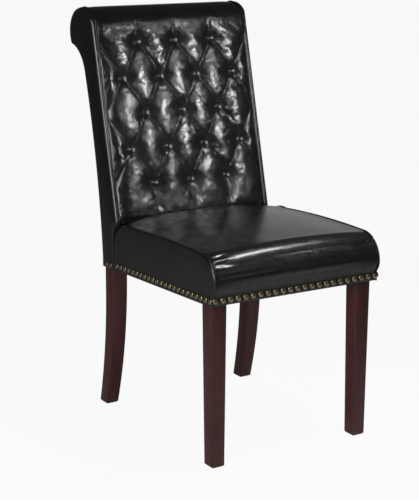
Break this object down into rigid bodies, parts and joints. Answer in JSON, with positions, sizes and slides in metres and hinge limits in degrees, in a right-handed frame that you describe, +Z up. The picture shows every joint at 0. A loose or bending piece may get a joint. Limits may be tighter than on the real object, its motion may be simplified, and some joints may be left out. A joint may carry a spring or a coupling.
{
  "type": "parsons dining chair",
  "caption": "Leather parsons dining chair with a scrolled, diamond-tufted back, a boxed seat trimmed with domed nails, tapered front legs and sabre rear legs.",
  "frame": {"origin": "on the floor, centred under the chair's overall width and depth", "axes": "+Z is up; the sitter faces -Y, so the tufted back is on the +Y side; left (-X) and right (+X) in the node names are as seen from the front"},
  "size_m": [0.47, 0.6984, 1.0096],
  "materials": {
    "leather": "black bonded leather, semi-gloss, fine pebbled grain",
    "leg_wood": "dark mahogany stain under satin lacquer",
    "nail_brass": "antique brass, bright crown and darkened rim",
    "frame_wood": "raw planed hardwood",
    "foam": "open-cell polyurethane foam",
    "webbing": "woven jute webbing",
    "dark_cloth": "black non-woven upholstery cloth",
    "twine": "waxed tufting twine",
    "steel": "zinc-plated steel",
    "glide_plastic": "dark nylon, matt"
  },
  "bodies": {
    "root": {"seat_front_rail": "frame_wood", "seat_rear_rail": "frame_wood", "seat_side_rail_left": "frame_wood", "seat_side_rail_right": "frame_wood", "corner_blocks": "frame_wood", "seat_webbing_long": "webbing", "seat_webbing_cross": "webbing", "seat_deck_cloth": "dark_cloth", "seat_foam": "foam", "seat_cover": "leather", "seat_side_panel_left": "leather", "seat_side_panel_right": "leather", "dust_cover": "dark_cloth", "front_leg_left": "leg_wood", "front_leg_right": "leg_wood", "rear_leg_left": "leg_wood", "rear_leg_right": "leg_wood", "floor_glides": "glide_plastic", "back_post_left": "frame_wood", "back_post_right": "frame_wood", "back_bottom_rail": "frame_wood", "back_middle_rail": "frame_wood", "back_top_rail": "frame_wood", "back_board": "frame_wood", "back_foam": "foam", "roll_foam": "foam", "back_front_cover": "leather", "back_rear_cover": "leather", "back_side_panel_left": "leather", "back_side_panel_right": "leather", "tufting_buttons": "leather", "tufting_twine": "twine", "tufting_washers": "steel", "back_bolts": "steel", "back_tee_nuts": "steel", "leg_bolts": "steel", "leg_nuts": "steel", "tongue_bolts": "steel", "trim_nails": "nail_brass"}
  },
  "joints": []
}
